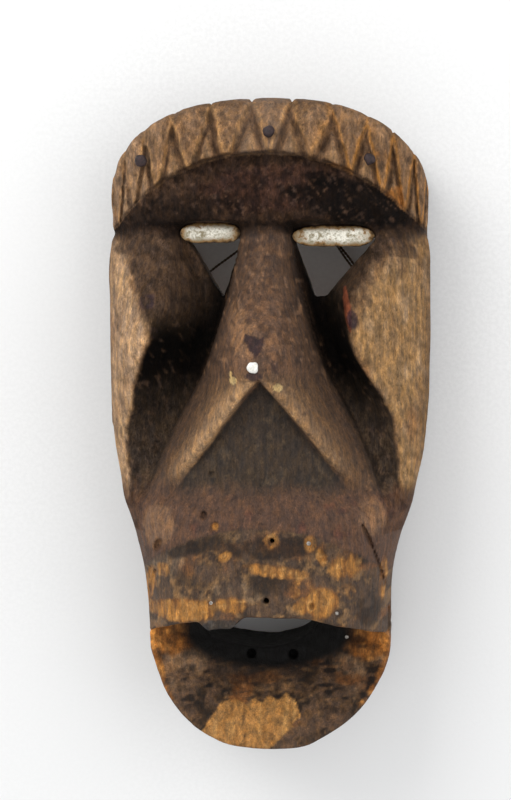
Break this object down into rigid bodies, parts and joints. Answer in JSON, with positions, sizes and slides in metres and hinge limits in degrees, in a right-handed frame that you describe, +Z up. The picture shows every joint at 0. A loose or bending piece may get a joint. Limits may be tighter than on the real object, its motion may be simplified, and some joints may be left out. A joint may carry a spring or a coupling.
{
  "type": "carved wooden face mask",
  "caption": "Tall carved wooden mask with a long winged nose, slit eyes under metal eyelid plates, open projecting muzzle, carved brow band and a swinging hanging cord.",
  "frame": {"origin": "on the flat back rim behind the chin, in the middle of the mask's width", "axes": "+Z up towards the crown, the face looks along -Y, the flat back rim faces +Y, +X to the right of someone looking at the face"},
  "size_m": [0.1524, 0.0973, 0.301],
  "materials": {
    "carved_wood": "hand-tooled, smoke-darkened and worn",
    "cord_fibre": "twisted plant fibre",
    "plate_metal": "hammered, stained at the edges",
    "forged_iron": "forged, rusted dark",
    "bright_tack": "worn bright",
    "small_tack": "dull",
    "nail_wire": "drawn wire, lightly rusted"
  },
  "bodies": {
    "mask": {"mask_body": "carved_wood", "eyelid_plate_left": "plate_metal", "eyelid_plate_right": "plate_metal", "band_nail_left": "forged_iron", "band_nail_centre": "forged_iron", "band_nail_right": "forged_iron", "nose_tack": "bright_tack", "lip_tack_left": "small_tack", "lip_tack_right": "small_tack", "muzzle_tack": "small_tack", "jaw_tack": "small_tack", "cord_nail_left": "nail_wire", "cord_nail_right": "nail_wire"},
    "cord": {"hanging_cord": "cord_fibre"}
  },
  "joints": [
    {"name": "cord_swing", "type": "hinge", "parent": "mask", "child": "cord", "pos_m": [0, -0.01, 0.169], "axis": [-1, 0, 0], "range_deg": [-30, 175]}
  ]
}
